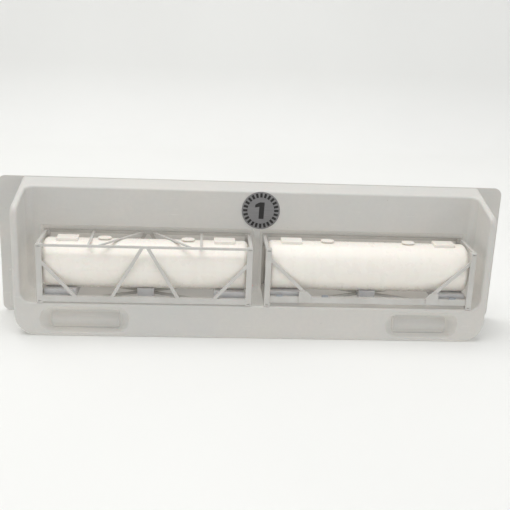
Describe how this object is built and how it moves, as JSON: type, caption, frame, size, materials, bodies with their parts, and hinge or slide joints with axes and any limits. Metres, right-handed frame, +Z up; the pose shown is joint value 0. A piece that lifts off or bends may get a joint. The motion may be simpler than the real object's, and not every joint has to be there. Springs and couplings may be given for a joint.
{
  "type": "model tank container display tray",
  "caption": "Formed display tray on edge, holding model tank containers in open frames that slide out of its front.",
  "frame": {"origin": "centre of the surface that the tray stands on", "axes": "+X along the tray, +Z up, open front towards -Y"},
  "size_m": [0.2614, 0.0356, 0.073],
  "materials": {
    "tray_plastic": "thin formed sheet, satin, light grey",
    "disc_foil": "metallised film disc with a printed numeral",
    "tank_plastic": "moulded, glossy, warm white",
    "frame_plastic": "moulded, satin, light grey",
    "saddle_plastic": "moulded, satin, blue-grey",
    "latch_plastic": "moulded, satin, dark grey"
  },
  "bodies": {
    "tray": {"number_disc": "disc_foil", "tray_shell": "tray_plastic"},
    "container_left": {"left_end_frame_a": "frame_plastic", "left_end_frame_b": "frame_plastic", "left_end_saddle_a": "saddle_plastic", "left_end_saddle_b": "saddle_plastic", "left_floor_braces": "frame_plastic", "left_front_bottom_rail": "frame_plastic", "left_front_centre_brace_a": "frame_plastic", "left_front_centre_brace_b": "frame_plastic", "left_front_end_brace_a": "frame_plastic", "left_front_end_brace_b": "frame_plastic", "left_front_top_rail": "frame_plastic", "left_lid_a": "tank_plastic", "left_lid_b": "tank_plastic", "left_middle_saddle": "saddle_plastic", "left_rear_bottom_rail": "frame_plastic", "left_rear_centre_brace_a": "frame_plastic", "left_rear_centre_brace_b": "frame_plastic", "left_rear_end_brace_a": "frame_plastic", "left_rear_end_brace_b": "frame_plastic", "left_rear_top_rail": "frame_plastic", "left_tank_lower": "tank_plastic", "left_tank_upper": "tank_plastic", "left_top_bar_a": "frame_plastic", "left_top_bar_b": "frame_plastic", "left_top_diagonal_a": "frame_plastic", "left_top_diagonal_b": "frame_plastic", "left_valve_cap_a": "tank_plastic", "left_valve_cap_b": "tank_plastic"},
    "container_right": {"right_end_frame_a": "frame_plastic", "right_end_frame_b": "frame_plastic", "right_end_saddle_a": "saddle_plastic", "right_end_saddle_b": "saddle_plastic", "right_floor_braces": "frame_plastic", "right_front_bottom_rail": "frame_plastic", "right_front_end_brace_a": "frame_plastic", "right_front_end_brace_b": "frame_plastic", "right_front_gusset_a": "frame_plastic", "right_front_gusset_b": "frame_plastic", "right_lid_a": "tank_plastic", "right_lid_b": "tank_plastic", "right_middle_saddle": "saddle_plastic", "right_rail_latches": "latch_plastic", "right_rear_bottom_rail": "frame_plastic", "right_rear_end_brace_a": "frame_plastic", "right_rear_end_brace_b": "frame_plastic", "right_rear_gusset_a": "frame_plastic", "right_rear_gusset_b": "frame_plastic", "right_rear_top_rail": "frame_plastic", "right_tank_lower": "tank_plastic", "right_tank_upper": "tank_plastic", "right_valve_cap_a": "tank_plastic", "right_valve_cap_b": "tank_plastic"}
  },
  "joints": [
    {"name": "left_container_slide", "type": "slide", "parent": "tray", "child": "container_left", "axis": [0, -1, 0], "range_m": [0, 0.034]},
    {"name": "right_container_slide", "type": "slide", "parent": "tray", "child": "container_right", "axis": [0, -1, 0], "range_m": [0, 0.034]}
  ]
}
